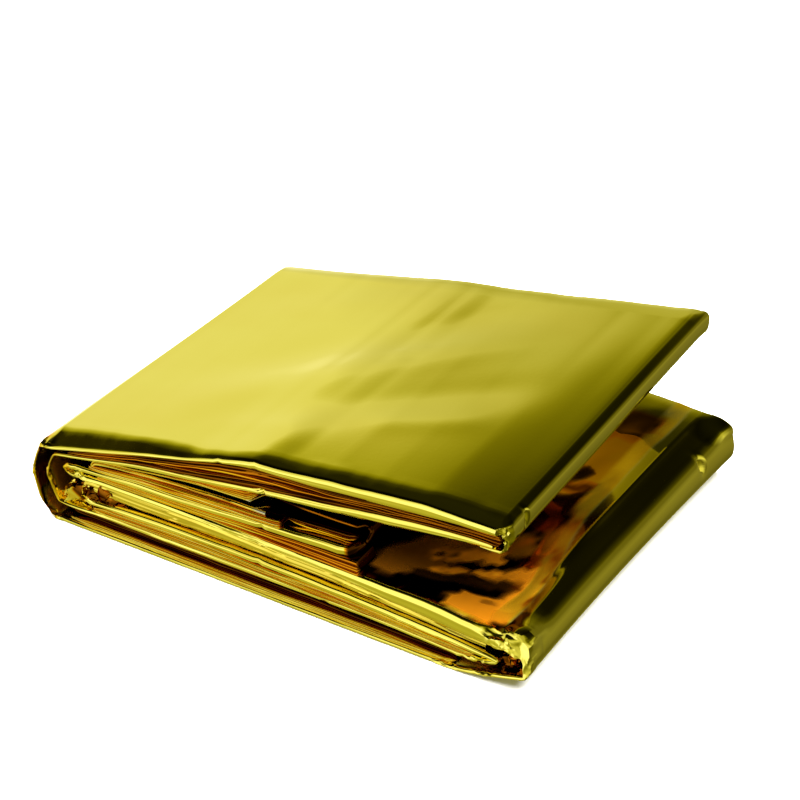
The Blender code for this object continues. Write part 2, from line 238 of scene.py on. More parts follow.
# The sloping edge of the top, and how far the top falls towards the back, at the columns.
TOP_BAND_WIDTHS = (5.4, 5.1, 4.3, 3.2, 2.6, 3, 3.7, 3.9, 4.2, 4.3, 4.3, 4.3)
TOP_BAND_HEIGHTS = (2.35, 2.2, 1.8, 1.2, 0.85, 0.8, 0.9, 0.95, 1, 1, 1, 1)
TOP_BAND_SHAPE = 1.3
TOP_FALL = (1.45, 2.05, 2.7, 3.2, 3.85, 4.6, 4.1, 3.5, 2.6, 1.45, -0.25, -1.2)
TOP_REACH = (2.8, 1.3)  # how much further back the top reaches, at the spine and at its open end
ROD_END, ROD_BACK = 60.9, 4.2  # where the flap's upper bundle steps back, and how far
FLAP_END, FLAP_BACK = 85.2, 2.6  # where the flap's lower roll ends, and how far it steps back
BACK_RISE, LEAF_RISE = 1.2, 1.3  # how much higher the open ends of the upper and lower leaf lie at the back
LEAF_EDGE, LEAF_EDGE_SHIFT = 122, 3.4  # where the open leaf's floor ends in front, and how far it draws in

FINE_STEPS = 40  # samples between two knots of a path
SHARPEST_TURN, SHORTEST_STEP = math.radians(9), 0.16  # from one row of points to the next
CRUSHED_STEP = 0.42  # distance between the rows where the film is crushed
FRONT_STEPS = 30  # faces round the rolled front edge
BACK_STEPS = 20
FRONT_CROWDING = 0.45  # how much closer the points across the pack lie near the front side
DENT_STEP = 0.6  # distance between the points across a dent
ROLL_BOX = 2.5  # 2 is a round roll, more a squarer one
LINE_DEPTH = 0.05  # how deep the ply lines groove the rolls
FRAY, FRAY_BELOW = 0.036, 1.6  # how far the rolls that are thinner than this fray
RIPPLE = 0.09  # height of the slow ripples of the film
NOISE_SEED = 1795486919  # without a seed, noise_vector differs from run to run
PLY_STEPS, STACK_STEP, STACK_DEPTH = 8, 0.8, 6  # faces round a ply's edge, and a stack's steps and depth
POCKET_ROWS, POCKET_COLUMNS = 84, 34
CREASE_ANGLE, CRUSHED_ANGLE = 55, 27  # sharper folds than this show as creases

# The studio's surround: the height of a direction, from -1 to 1, and how bright and how warm it is there.
SURROUND = (
    (-1, 0.32, 0.9), (-0.8, 0.5, 0.75), (-0.62, 0.72, 0.5), (-0.5, 1, 0.16), (-0.2, 1.4, 0),
    (-0.05, 1.15, 0.05), (0.05, 0.92, 0.25), (0.12, 0.82, 0.38), (0.33, 0.76, 0.42), (0.37, 0.63, 0.62),
    (0.4, 0.51, 0.78), (0.43, 0.41, 0.88), (0.48, 0.29, 0.95), (0.54, 0.2, 0.98), (0.57, 0.14, 0.98),
    (0.62, 0.05, 0.95), (0.72, 0.016, 0.9), (1, 0.012, 0.8),
)
BACKDROP = (0.95, 0.95, 0.95)
CAMERA_PLACE = (0.20435, -0.33698, 0.27491)
CAMERA_TILT, CAMERA_TURN, CAMERA_LENS = 57.717, 30.856, 90.06

# --- Settings ---


def number_setting(name, description, default, **limits):
    return bpy.props.FloatProperty(name=name, description=description, default=default, **limits)


def length_setting(name, description, default, low, high):
    """A length, given here in millimetres."""
    limits = dict(min=low * MM, max=high * MM, unit="LENGTH", precision=5)
    return number_setting(name, description, default * MM, **limits)


def colour_setting(name, part, default):
    return bpy.props.FloatVectorProperty(
        name=name, description="Colour of " + part, default=default, size=3, min=0, max=1, subtype="COLOR",
    )


class FilmSizes(bpy.types.PropertyGroup):
    """Sizes of the folded film"""

    roll_depth: length_setting("Roll depth", "How deep the rolled long edges are", 1.25, 0.3, 5)
    row_step: length_setting("Row step", "Distance between the points along the folds", 1.15, 0.4, 5)
    column_step: length_setting("Column step", "Distance between the points across the pack", 2.3, 0.8, 8)
    unevenness: length_setting("Unevenness", "How far the long edges of the plies wander", 0.3, 0, 2)
    crinkle: length_setting("Crinkle", "Height of the crinkles inside the open leaf", 0.35, 0, 2)


class FilmColours(bpy.types.PropertyGroup):
    """Colours of the metallised film, and of the shade, reflections and highlights painted onto it"""

    gold: colour_setting("Gold", "the outer face of the film", (1.0, 0.89, 0.17))
    tarnish: colour_setting("Tarnish", "the film's duller patches", (0.96, 0.81, 0.12))
    # The next four colours are painted shade and reflection, darker step by step: at the mouth of the
    # slits, where plies mirror each other, after many reflections, and between the plies.
    painted_slit_shade: colour_setting("Old gold", "the film at the mouth of the slits", (0.82, 0.55, 0.014))
    amber: colour_setting("Amber", "the film where plies reflect each other", (0.72, 0.24, 0.006))
    brown: colour_setting("Brown", "the film after many reflections", (0.23, 0.075, 0.003))
    umber: colour_setting("Umber", "the film deep between the plies", (0.03, 0.008, 0.001))
    # Pale cut ends: partly the film's uncoated silver side, partly a painted highlight.
    bare: colour_setting("Bare", "the film's uncoated cut ends", (0.86, 0.83, 0.78))
    roughness: number_setting("Roughness", "Roughness of the film", 0.045, min=0, max=1)
    haze: number_setting("Haze", "Added roughness where the film is finely crinkled", 0.5, min=0, max=0.9)


class StudioSettings(bpy.types.PropertyGroup):
    """Floor, light and camera"""

    floor_size: number_setting("Floor size", "Side of the floor", 6, unit="LENGTH")
    floor_colour: colour_setting("Floor colour", "the floor", (0.9, 0.9, 0.9))
    lamp_power: number_setting("Overhead light", "Power of the soft overhead light in watts", 190)
    surround: number_setting("Surround", "Brightness of the studio's bright surround", 1)


# --- Folding ---


def clamp(value):
    return min(1.0, max(0.0, value))


def smooth(share):
    share = clamp(share)
    return share * share * (3 - 2 * share)


def mix(a, b, share):
    return a + (b - a) * share


def at_column(values, x):
    """A layer's value at X, between the columns."""
    if x <= COLUMNS[0]:
        x0, x1, v0, v1 = *COLUMNS[:2], *values[:2]
    elif x >= COLUMNS[-1]:
        return values[-1]
    else:
        place = sum(x > column for column in COLUMNS[1:-1])
        x0, x1 = COLUMNS[place : place + 2]
        v0, v1 = values[place : place + 2]
    return mix(v0, v1, (x - x0) / (x1 - x0))


def wander(along, seed, length):
    """A slow wander from -1 to 1 along a fold."""
    return noise.noise(Vector((along / length, seed * 7.31, seed * 1.7)))


def layer_knots(name, rightwards):
    """Knots of a layer, with the facts of its film. Each layer's name is 1 on that layer, else 0."""
    layer = LAYERS[name]
    inside = [x for x in COLUMNS if layer.left + 3 < x < layer.right - 3]
    stops = [layer.left, *inside, layer.right]
    if not rightwards:
        stops.reverse()
    way = 1 if rightwards else -1
    knots = []
    for x in stops:
        thick = at_column(layer.thicks, x)
        facts = {key: getattr(layer, key) for key in ("crown", "sag", "front", "back", "lines", "deep")}
        facts.update({other: float(other == name) for other in LAYERS})
        facts.update(is_top=facts["top"], is_floor=facts["bottom"])
        facts.update(thick=thick, inside=min(layer.inside, thick), held=layer.held * way, spine=0, way=way)
        knots.append((x, at_column(layer.heights, x), facts))
    return knots


def bend_knots(corners, before, after):
    """Two knots at each pressed corner, a little before and after it."""
    points = [(before[0], before[1]), *[(c.x, c.z) for c in corners], (after[0], after[1])]
    knots = []
    for place, corner in enumerate(corners):
        here = Vector(points[place + 1])
        for there in (points[place], points[place + 2]):
            run = Vector(there) - here
            step = min(corner.turn, run.length * 0.4)
            point = here + run.normalized() * step
            share = (place + 1) / (len(corners) + 1)
            facts = {key: mix(before[2][key], after[2][key], share) for key in before[2]}
            # Folds near the spine get a little painted shade.
            facts["deep"] = max(facts["deep"], 0.26 * (corner.x < 14))
            facts["spine"] = float(corner.x < 6.5)
            facts.update(
                thick=corner.thick, inside=min(corner.thick, 1.0), held=0.0, is_top=0.0, is_floor=0.0
            )
            knots.append((point.x, point.y, facts))
    return knots


def path_knots(path, tuck=None):
    """Knots of a fold path, as (x, z, facts)."""
    runs = {name: layer_knots(name, name not in LEFTWARDS) for name in path[::2]}
    knots = []
    for place, name in enumerate(path):
        if place % 2 == 0:
            knots += runs[name]
            continue
        before = knots[-1]
        if place + 1 < len(path):
            after = runs[path[place + 1]][0]
        else:
            after = (tuck.x, tuck.z, dict(before[2], thick=tuck.thick, inside=tuck.thick, front=1.2))
        knots += bend_knots(rows_of(Corner, *BENDS[name]), before, after)
        if place + 1 == len(path):
            knots.append(after)
    return knots


def spline_point(p0, p1, p2, p3, share):
    """A centripetal Catmull-Rom spline between p1 and p2."""
    t = [0.0]
    for a, b in ((p0, p1), (p1, p2), (p2, p3)):
        t.append(t[-1] + max(1e-3, math.dist(a, b)) ** 0.5)
    here = t[1] + (t[2] - t[1]) * share

    def between(a, b, ta, tb):
        return tuple(u + (w - u) * (here - ta) / (tb - ta) for u, w in zip(a, b))

    a1, a2, a3 = between(p0, p1, t[0], t[1]), between(p1, p2, t[1], t[2]), between(p2, p3, t[2], t[3])
    b1, b2 = between(a1, a2, t[0], t[2]), between(a2, a3, t[1], t[3])
    return between(b1, b2, t[1], t[2])


def path_rows(knots, step_at):
    """Rows along a path, as (x, z, normal x, normal z, facts, distance along)."""
    points = [knot[:2] for knot in knots]
    first = tuple(2 * a - b for a, b in zip(points[0], points[1]))
    last = tuple(2 * a - b for a, b in zip(points[-1], points[-2]))
    padded = [first, *points, last]
    fine = []
    along = 0.0
    for place in range(len(knots) - 1):
        facts0, facts1 = knots[place][2], knots[place + 1][2]
        for step in range(FINE_STEPS + (place == len(knots) - 2)):
            share = step / FINE_STEPS
            x, z = spline_point(*padded[place : place + 4], share)
            if fine:
                along += math.dist(fine[-1][:2], (x, z))
            fine.append((x, z, facts0, facts1, share, along))
    rows, turned, heading_before = [], 0.0, 0.0
    for place, (x, z, facts0, facts1, share, along) in enumerate(fine):
        a, b = fine[max(0, place - 1)], fine[min(len(fine) - 1, place + 1)]
        heading = math.atan2(b[1] - a[1], b[0] - a[0])
        turned += abs(math.remainder(heading - heading_before, math.tau))
        heading_before = heading
        is_last = place == len(fine) - 1
        gone = along - rows[-1][5] if rows else math.inf
        if is_last or gone >= step_at(x, z) or (turned > SHARPEST_TURN and gone > SHORTEST_STEP):
            facts = {key: mix(facts0[key], facts1[key], share) for key in facts0}
            rows.append((x, z, -math.sin(heading), math.cos(heading), facts, along))
            turned = 0.0
    return rows


def ridge_height(x, y):
    """How high the ridges and troughs lift the top."""
    height = 0.0
    for ridge in TOP_RIDGES:
        run_x, run_y = ridge.x1 - ridge.x0, ridge.y1 - ridge.y0
        length = math.hypot(run_x, run_y)
        along = ((x - ridge.x0) * run_x + (y - ridge.y0) * run_y) / length**2
        away = ((x - ridge.x0) * run_y - (y - ridge.y0) * run_x) / length
        fade = smooth(along / 0.3) * smooth((1 - along) / 0.3)
        height += ridge.height * fade * math.exp(-((away / ridge.width) ** 2))
    return height


def pack_shift(x, y, z, facts):
    """The sags, presses and skews that the whole pack has, as in the CAD part."""
    top = facts["is_top"]
    if facts["is_floor"] < 0.5:
        reach = SAG_REACH if x < SAG_X else SAG_REACH_OPEN
        bulge = math.cos(math.pi / 2 * min(1.0, abs(x - SAG_X) / reach)) ** 2
        far = smooth(y / PACK_DEPTH)
        z -= mix(facts["sag"] * bulge, at_column(TOP_FALL, x), top) * far
        z += BACK_RISE * smooth((x - 112) / 8) * far * smooth((z - 28) / 6) * (1 - top)
        z += LEAF_RISE * smooth((x - 92) / 24) * smooth((y - 45) / 55) * smooth((z - 5) / 5) * (z < 25)
        pressed = smooth(y / SPINE_PRESS_DEPTH) * (1 - smooth(x / SPINE_PRESS_REACH))
        z *= 1 - SPINE_PRESS * pressed * (1 - top)
    skewed = smooth((x - END_SKEW_FROM) / (END_SKEW_TO - END_SKEW_FROM)) if z < END_SKEW_BELOW else 0.0
    x += END_SKEW * skewed * (y / PACK_DEPTH) ** 2
    return x, z


def stroke_share(stroke, x, y):
    """How much a stroke covers a place, 0 to 1."""
    run_x, run_y = stroke.x1 - stroke.x0, stroke.y1 - stroke.y0
    along = ((x - stroke.x0) * run_x + (y - stroke.y0) * run_y) / (run_x**2 + run_y**2)
    along = clamp(along)
    away = math.hypot(x - stroke.x0 - run_x * along, y - stroke.y0 - run_y * along)
    return 1 - smooth((away - stroke.width) / 1.1 + 0.5)


def facet(place, offset):
    """Flat facets with sharp creases between them, from -1 to 1."""
    value = 1.5 * noise.noise(place + Vector((offset, 8.7, 2.0 * offset))) + 0.25
    return 4 * abs(value - round(value)) - 1


def crushed(x, y, z):
    """How far crushed film is pushed away from its smooth place, and how crushed it is there."""
    shift, near = Vector((0, 0, 0)), 0.0
    for spot in CRUSHES:
        away = math.sqrt(
            ((x - spot.x) / spot.reach_x) ** 2
            + ((y - spot.y) / spot.reach_y) ** 2
            + ((z - spot.z) / spot.reach_z) ** 2
        )
        if away >= 1.6:
            continue
        place = Vector((x - spot.x, y - spot.y, z - spot.z)) * spot.grain
        fade = spot.amount * (1 - smooth(away / 1.6))
        near = max(near, 1 - away / 1.6)
        for octave, size in ((1.0, 0.75), (2.9, 0.13)):
            folds = Vector([facet(place * octave, spot.x + turn) for turn in (0.0, 3.7, 9.1)])
            shift += Vector((folds.x, folds.y + 0.25, folds.z)) * fade * size
    return shift, near


def pressed(point):
    """Where a point lies once the corners are pressed flat, and how close it is to a pressed facet."""
    near = 0.0
    for press in PRESSES:
        spot = Vector(press.spot)
        away = (point - spot).length / press.reach
        if away < 1:
            facing = Vector(press.facing).normalized()
            beyond = (point - spot).dot(facing)
            near = max(near, 1 - away)
            if beyond > 0:
                point = point - facing * beyond * 0.93 * (1 - smooth((away - 0.7) / 0.3))
    return point, near


def to_row(x, y, z):
    return Vector(((x - SPINE_OFFSET) * MM, (y - PACK_DEPTH / 2) * MM, max(0.02, z + LIFT) * MM))


def column_table(column_step):
    """Places round a flat tube: (side, edge, share), side 1 upper and -1 lower."""
    middle = max(8, round((PACK_DEPTH - 4) / (column_step / MM)))
    front, back = FRONT_STEPS // 2, BACK_STEPS // 2
    shares = [step / middle for step in range(middle + 1)]
    for dent in DENTS:
        near = share_at(dent.y)
        shares = [share for share in shares if abs(share - near) > 2.6 / PACK_DEPTH]
        shares += [near + step * DENT_STEP / PACK_DEPTH for step in range(-4, 5)]
    table = [(1, "front", step / front) for step in range(front)]
    table += [(1, "flat", share) for share in sorted(shares)]
    table += [(1, "back", 1 - (step + 1) / back) for step in range(back)]
    table += [(-1, "back", (step + 1) / back) for step in range(back - 1)]
    table += [(-1, "flat", 1 - step / middle) for step in range(middle + 1)]
    table += [(-1, "front", 1 - (step + 1) / front) for step in range(front - 1)]
    return table


def flat_share(share):
    return mix(share, share * share, FRONT_CROWDING)


def share_at(y):
    """The column share whose points lie at Y."""
    wanted, even = (y - 1.5) / (PACK_DEPTH - 3), 1 - FRONT_CROWDING
    return (math.sqrt(even**2 + 4 * FRONT_CROWDING * wanted) - even) / (2 * FRONT_CROWDING)


def wedge_edge(y):
    """Where the floor of the open leaf starts to round over its open end."""
    drawn_in = LEAF_EDGE_SHIFT * smooth((y - 18) / 32)
    return LEAF_EDGE - drawn_in + 0.6 * wander(y, 3.0, 16) + 0.2 * wander(y, 6.0, 7)


def wedge_crinkle(x, y, amount):
    """Crinkles of the film inside the open leaf."""
    place = Vector((x * 0.055, y * 0.035, 4.2))
    bend = noise.noise_vector(place * 1.7) * 0.5
    soft = noise.noise(place + bend)
    sharp = 1 - abs(noise.noise(place * 2.1 + bend * 1.6))
    fine = 1 - abs(noise.noise(Vector((x * 0.21 - y * 0.05, y * 0.09, 9.0)) + bend * 2))
    fade = 1 - smooth((x - wedge_edge(y) + 6) / 5.5)
    return amount * fade * (1.1 * soft + 0.9 * sharp**3 + 0.4 * fine**4)


def wedge_painted_reflection(x, y):
    """The painted reflection and shade of the open leaf's floor, and how finely crinkled it is."""
    bend = noise.noise_vector(Vector((x * 0.13, y * 0.08, 1.5)))
    warp_x = x + 2.4 * bend.x * smooth(y / 24) + 0.9 * facet(Vector((x * 0.2, y * 0.11, 3.0)), 2.0)
    warp_y = y + 3.2 * bend.y * smooth(y / 30)
    tone = Vector((WEDGE_PAINTED_SHADE, 0.0))
    for stroke in WEDGE_STROKES:
        tone = tone.lerp(Vector(stroke[5:]), stroke_share(stroke, warp_x, warp_y))
    # A painted strip of paler reflection along the open edge, and no painted shade beyond it.
    from_edge = wedge_edge(y) - x
    strip = smooth((3.6 - from_edge + 1.2 * bend.y) / 1.2) * smooth(y / 12) * (0.55 + 0.9 * abs(bend.x))
    tone = tone.lerp(Vector((0.32, 0.1)), min(1.0, strip))
    return tone * smooth((from_edge + 0.8) / 0.9)


def nick_depth(facts, x):
    """How far the small nicks push a rolled front edge back."""
    depth = 0.0
    for nick in NICKS:
        if facts[nick.layer] > 0.5:
            depth += nick.depth * math.exp(-(((x - nick.x) / nick.reach) ** 2))
    return depth


def ragged(along, slow_seed, slow, quick_seed, quick):
    """How far a loose long edge wanders in, about 0 to 1."""
    return 0.5 + 0.5 * wander(along, slow_seed, slow) + 0.3 * wander(along, quick_seed, quick)


def long_edges(facts, x, along, seed, loose):
    """How far a bundle's long edges stand in from the front and from the back side."""
    rod_step = facts["flap_top"] * ROD_BACK * smooth((x - ROD_END) / 1.5)
    flap_step = FLAP_BACK * smooth((x - FLAP_END) / 2.2) * (facts["flap"] + facts["flap_top"])
    front = facts["front"] + (rod_step + flap_step) + loose * ragged(along, seed, 31, seed + 3, 7)
    front += FRAY * wander(along, seed + 5, 2.6) * max(0.0, FRAY_BELOW - facts["thick"])
    back = facts["back"] + loose * ragged(along, seed + 9, 29, seed + 11, 8)
    return front, back - facts["top"] * mix(*TOP_REACH, x / 121)


def roll_shape(column, facts, along, seed, thick, roll):
    """How deep a point of a rolled edge lies, and its height as a share of the bundle's."""
    side, _, share = column
    angle = share * math.pi / 2
    depth = roll * (1 - math.cos(angle) ** (2 / ROLL_BOX))
    lines = angle * (5 + 3 * facts["lines"]) * 1.3 + 6 * wander(along, seed + 17, 44) + seed + side
    groove = 0.6 * math.sin(side * lines)
    groove += 0.4 * math.sin(side * lines * 2.3 + 4 * wander(along, seed, 19))
    depth += LINE_DEPTH * facts["lines"] * groove * math.cos(angle) * min(thick, 2.0)
    return depth, math.sin(angle) ** (2 / ROLL_BOX)


def half_thickness(facts, x, side, thick, roll, from_front, from_side):
    """How far the film lies from the middle of its bundle, which thins out away from the rolled edges."""
    inner, level, held = facts["inside"], facts["thick"] / 2, facts["held"]
    dips = facts["lower_top"] * smooth((x - 97) / 10) * (1 - smooth((from_front - 8) / 40))
    held *= 1 - 0.85 * dips
    thinned = smooth((from_side - roll) / mix(6.0, 14.0, dips))
    even = mix(inner - level, level, (side * held + 1) / 2)
    return mix(thick / 2, mix(inner / 2, even, abs(held)), thinned)


def crown_height(facts, x, from_side):
    """How much higher a bundle lies inside than on its long sides."""
    crown_share = max(0.0, 1 - from_side / CROWN_WIDTH)
    crown = facts["crown"] * math.sqrt(max(0.0, 1 - crown_share**2))
    if facts["is_top"] > 0:
        band_share = max(0.0, 1 - from_side / at_column(TOP_BAND_WIDTHS, x))
        band = at_column(TOP_BAND_HEIGHTS, x) * (1 - band_share**TOP_BAND_SHAPE)
        crown = mix(crown, band, facts["is_top"])
    return crown


def bare_and_glint_share(facts, x, from_front, edge):
    """Where the pale cut ends of the flap's bundle and of the tail show: partly the film's uncoated silver
    side, partly a painted highlight.
    """
    if edge != "front" and from_front >= 3:
        return 0.0
    if facts["flap_top"] > 0.5:
        return smooth((x - 59.4) / 0.3) * smooth((61.2 - x) / 0.3)
    return smooth((x - 62.0) / 0.3) * (facts["tail"] > 0.5)


def tube_point(row, column, seed, sizes):
    """Where a point of the flat tube lies, in millimetres, and its marks for the film."""
    x, z, nx, nz, facts, along = row
    side, edge, share = column
    roll = sizes.roll_depth / MM
    front, back = long_edges(facts, x, along, seed, sizes.unevenness / MM)
    thick = facts["thick"] * (1 + 0.12 * wander(along, seed + 13, 11) + 0.07 * wander(along, seed + 15, 3))
    if edge == "flat":
        inwards, rise = mix(roll, PACK_DEPTH - front - back - roll, flat_share(share)), 1.0
    else:
        inwards, rise = roll_shape(column, facts, along, seed, thick, roll)
        if edge == "front":
            inwards += nick_depth(facts, x) * math.cos(share * math.pi / 2 * 0.8)
        else:
            inwards = PACK_DEPTH - front - back - inwards
    y = front + inwards
    from_front, from_back = y - front, PACK_DEPTH - back - y
    from_side = min(from_front, from_back)
    reach = rise * half_thickness(facts, x, side, thick, roll, from_front, from_side)
    px, pz = x + nx * reach * side, z + nz * reach * side
    if facts["is_floor"] < 0.5:
        pz += crown_height(facts, x, from_side) * (1 - 0.5 * facts["is_floor"])
        pz += RIPPLE * noise.noise(Vector((along / 26, y / 34, seed)))
    if facts["is_top"] > 0:
        pz += facts["is_top"] * ridge_height(x, y) * smooth(from_side / 14)
    deep, haze = facts["deep"], 0.0
    # Painted shade on the lower sides of the rolled edges, stronger where their ply lines are.
    if edge != "flat":
        deep += 0.12 * facts["lines"] * (side < 0) * (1 + wander(along, seed + 23, 30)) * smooth(share * 2)
    if facts["lower_top"] > 0 and side * facts["way"] > 0:
        inside = smooth((from_side - 1.0) / 5) * smooth((x - 60) / 25)
        pz += facts["lower_top"] * inside * wedge_crinkle(px, y, sizes.crinkle / MM)
        # The floor of the open leaf gets its painted reflections and shade, and its haze.
        depth, haze = wedge_painted_reflection(px, y) * smooth((from_front - 0.9) / 0.8)
        deep = max(deep, depth)
    # Painted shade at the flap's loose end and in the hollow under the flap's upper bundle.
    loose_end = facts["flap"] + facts["flap_top"]
    if loose_end > 0:
        painted_hollow_shade = smooth(x - 62) * mix(1.0, 0.6, smooth((x - 69) / 4))
        end = loose_end * 0.95 * smooth((x - FLAP_END + 0.2) / 0.5)
        deep = max(deep, end, facts["flap_top"] * painted_hollow_shade)
    # Painted shade on the inner faces of the spine's folds, with some haze.
    painted_spine_shade = facts["spine"] * smooth((px - 0.6) / 0.8) * smooth((from_front - 0.9) / 0.7)
    deep, haze = max(deep, 0.66 * painted_spine_shade), max(haze, 0.12 * painted_spine_shade)
    px, pz = pack_shift(px, y, pz, facts)
    for dent in DENTS:
        away = math.hypot((y - dent.y) / dent.reach_y, (pz - dent.z) / dent.reach_z)
        if away < 2.5:
            px -= dent.depth * smooth((4 - abs(px - dent.x)) / 3) * math.exp(-(away**2))
    point, near_press = pressed(Vector((px, y, pz)))
    shift, near_crush = crushed(*point)
    bare, creased = bare_and_glint_share(facts, x, from_front, edge), min(1.0, 3 * max(near_press, near_crush))
    return point + shift, dict(deep=deep, bare=bare, haze=haze, creased=creased)


# --- Meshes ---

# The first mark paints shade and reflections into the film's colour, the second its pale cut ends, partly
# the uncoated silver side and partly a painted highlight; haze roughens it, and creased shows finer
# creases.
MARKS = ("deep", "bare", "haze", "creased")


def as_mesh(sheet, name):
    mesh = bpy.data.meshes.new(name)
    sheet.to_mesh(mesh)
    sheet.free()
    return mesh


def tube_mesh(name, row_count, column_count, place):
    """A grid rolled into a closed tube. place(row, column) gives a point in metres and its marks."""
    sheet = bmesh.new()
    bmesh.ops.create_grid(sheet, x_segments=row_count - 1, y_segments=column_count, size=1.0)
    layers = {mark: sheet.verts.layers.float.new(mark) for mark in MARKS}
    for vert in sheet.verts:
        row = round((vert.co.x + 1) / 2 * (row_count - 1))
        column = round((vert.co.y + 1) / 2 * column_count) % column_count
        vert.co, marks = place(row, column)
        for mark, value in marks.items():
            vert[layers[mark]] = value
    bmesh.ops.remove_doubles(sheet, verts=sheet.verts[:], dist=1e-7)
    rims = [edge for edge in sheet.edges if edge.is_boundary]
    caps = bmesh.ops.holes_fill(sheet, edges=rims, sides=0)["faces"]
    bmesh.ops.triangulate(sheet, faces=caps)
    bmesh.ops.recalc_face_normals(sheet, faces=sheet.faces[:])
    for face in sheet.faces:
        face.smooth = True
    for edge in sheet.edges:
        limit = mix(CREASE_ANGLE, CRUSHED_ANGLE, edge.verts[0][layers["creased"]])
        edge.smooth = edge.calc_face_angle(0.0) < math.radians(limit)
    return as_mesh(sheet, name)


def link_object(name, data):
    made = bpy.data.objects.new(name, data)
    bpy.context.scene.collection.objects.link(made)
    return made


def link_piece(name, mesh, material):
    mesh.materials.append(material)
    return link_object(name, mesh)


def build_bundle(name, path, tuck, seed, material):
    noise.seed_set(NOISE_SEED)
    sizes = bpy.context.scene.film_sizes
    step = sizes.row_step / MM

    def step_at(x, z):
        near_spot = any(
            math.hypot((x - c.x) / (c.reach_x * 1.3), (z - c.z) / (c.reach_z * 1.3)) < 1 for c in CRUSHES
        )
        return CRUSHED_STEP if near_spot else step

    rows = path_rows(path_knots(path, tuck), step_at)
    columns = column_table(sizes.column_step)

    def place(row, column):
        point, marks = tube_point(rows[row], columns[column], seed, sizes)
        return to_row(*point), marks

    mesh = tube_mesh(name, len(rows), len(columns), place)
    piece = link_piece(name, mesh, material)
    length = rows[-1][5] * MM
    return piece, length


def build_stack(stack, at_back, seed, material):
    """A stack of single plies in the slit between two bundles, at their front or back side."""
    lower, upper = LAYERS[stack.lower], LAYERS[stack.upper]
    edge_in = max(lower.back, upper.back) * 0.6 + 0.4 if at_back else 0.0
    ply_rows = stack.plies * PLY_STEPS
    count = max(8, round((stack.right - stack.left) / STACK_STEP))
    weights = [1 + 0.55 * wander(ply * 3.3, seed + 2.0, 1) for ply in range(stack.plies)]
    tops = [sum(weights[:ply]) / sum(weights) for ply in range(stack.plies + 1)]
    shades = [stack.deep + stack.uneven * 2 * wander(ply * 2.1, seed + 5, 1) for ply in range(stack.plies)]

    def ply_edge(column, x, height, end_shade):
        """A point of a ply's edge: its share of the stack's height, how far back it lies and its painted
        shade, darker where two plies meet.
        """
        ply = min(stack.plies - 1, column // PLY_STEPS)
        part = column / PLY_STEPS - ply
        low, high = tops[ply : ply + 2]
        share = mix(low, high, part)
        bulge = math.sqrt(max(0.0, 1 - (2 * part - 1) ** 2))
        swing = stack.jitter * wander(x, seed + ply * 2.7, 26)
        y = stack.set_back + swing + 0.35 * stack.jitter * wander(x, seed + ply * 1.3, 6)
        y -= bulge * min(0.7, height * (high - low))
        share += 0.5 / stack.plies * wander(x, seed + 31 + 0.4 * ply, 22) * math.sin(math.pi * share)
        shade = shades[ply] + stack.uneven * wander(x, seed + ply * 5.1, 14)
        # Painted shade, darker towards the right of the middle slit.
        shade += 0.3 * smooth((x - 50) / 22) * (stack.name == "middle_slit")
        shade = max(shade, end_shade)
        return share, y, clamp(mix(min(1.0, shade + 0.3), shade, bulge))

    def place(row, column):
        x = mix(stack.left, stack.right, row / (count - 1))
        bottom = at_column(lower.heights, x) + at_column(lower.thicks, x) * 0.42
        top = at_column(upper.heights, x) - at_column(upper.thicks, x) * 0.42
        from_left, from_right = x - stack.left, stack.right - x
        narrow = 0.06 + 0.94 * min(smooth(from_left / stack.taper[0]), smooth(from_right / stack.taper[1]))
        middle = (stack.low + stack.high) / 2
        low_share, high_share = mix(middle, stack.low, narrow), mix(middle, stack.high, narrow)
        if column <= ply_rows:
            # Painted shade at the stack's right end.
            end_shade = 1.1 * smooth((0.9 - from_right) / 0.5)
            share, y, deep = ply_edge(column, x, (top - bottom) * (high_share - low_share), end_shade)
        else:
            # The stack's hidden back face gets dark painted shade.
            share, y, deep = float(column == ply_rows + 1), stack.set_back + STACK_DEPTH, 0.95
        y += stack.back[0] * (1 - smooth(from_left / 2.5)) + stack.back[1] * (1 - smooth(from_right / 2.5))
        if at_back:
            y = PACK_DEPTH - edge_in - y
        faces = []
        for layer, height in ((lower, bottom), (upper, top)):
            facts = dict(sag=layer.sag, is_floor=layer.name == "bottom", is_top=layer.name == "top")
            faces.append(Vector(pack_shift(x, y, height, facts)))
        px, pz = faces[0].lerp(faces[1], mix(low_share, high_share, share))
        shift, near = crushed(px, y, pz)
        moved = [value + 0.6 * push for value, push in zip((px, y, pz), shift)]
        return to_row(*moved), dict(deep=deep, creased=near)

    name = "plies_" + stack.name + ("_back" if at_back else "")
    return link_piece(name, tube_mesh(name, count, ply_rows + 3, place), material)


